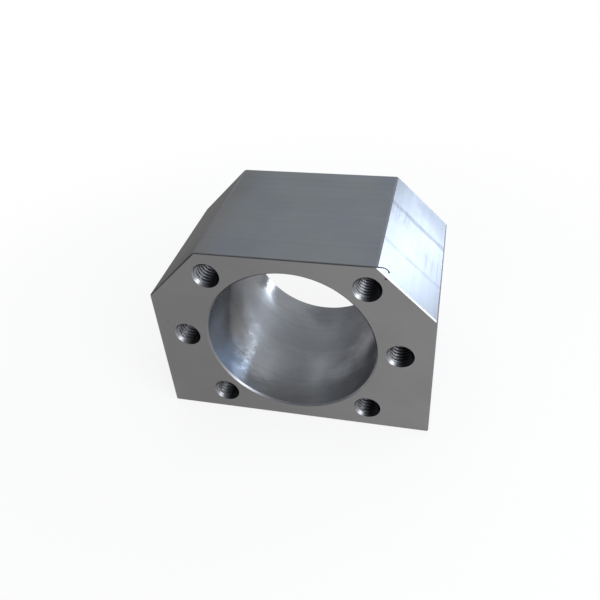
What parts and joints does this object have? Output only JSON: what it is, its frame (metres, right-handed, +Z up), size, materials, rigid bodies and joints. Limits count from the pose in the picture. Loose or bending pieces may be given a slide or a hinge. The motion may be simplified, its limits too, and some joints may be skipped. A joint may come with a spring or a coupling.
{
  "type": "ball screw nut housing",
  "caption": "Machined aluminium block with a through bore for a flanged ball screw nut, threaded screw holes round the bore and in the base, and sloping top corners.",
  "frame": {"origin": "centre of the base face", "axes": "+Z up from the base, Y along the bore with the flange face at -Y, X across the bore"},
  "size_m": [0.066, 0.04, 0.048],
  "materials": {
    "machined_aluminium": "fine machined, bare"
  },
  "bodies": {
    "root": {"nut_housing": "machined_aluminium"}
  },
  "joints": []
}
